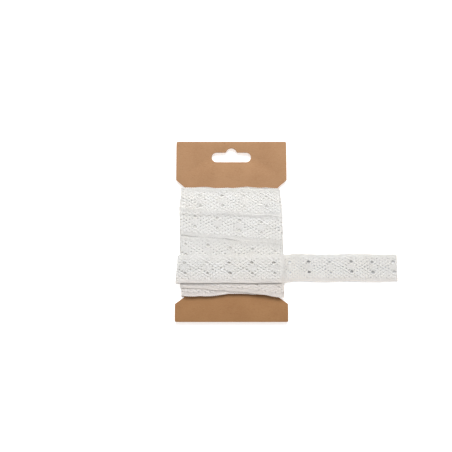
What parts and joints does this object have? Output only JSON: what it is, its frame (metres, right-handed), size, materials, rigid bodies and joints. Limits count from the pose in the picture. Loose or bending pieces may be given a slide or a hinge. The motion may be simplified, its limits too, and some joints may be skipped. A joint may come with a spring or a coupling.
{
  "type": "lace trim wound on a flat hanging card bobbin",
  "caption": "White cotton lace trim wound on a flat brown card with a hang slot, its loose end running off to the right.",
  "frame": {"origin": "on the surface the roll rests on, under the middle of the card, at the flat underside of the wound lace", "axes": "+X to the right, along the loose tail of lace; +Y up the card towards its hang slot; +Z out of the card's front"},
  "size_m": [0.179, 0.147, 0.0087],
  "materials": {
    "kraft_card": "matte",
    "cotton_lace": "matte"
  },
  "bodies": {
    "root": {"card": "kraft_card", "lace_winding": "cotton_lace", "lace_tail": "cotton_lace"}
  },
  "joints": []
}
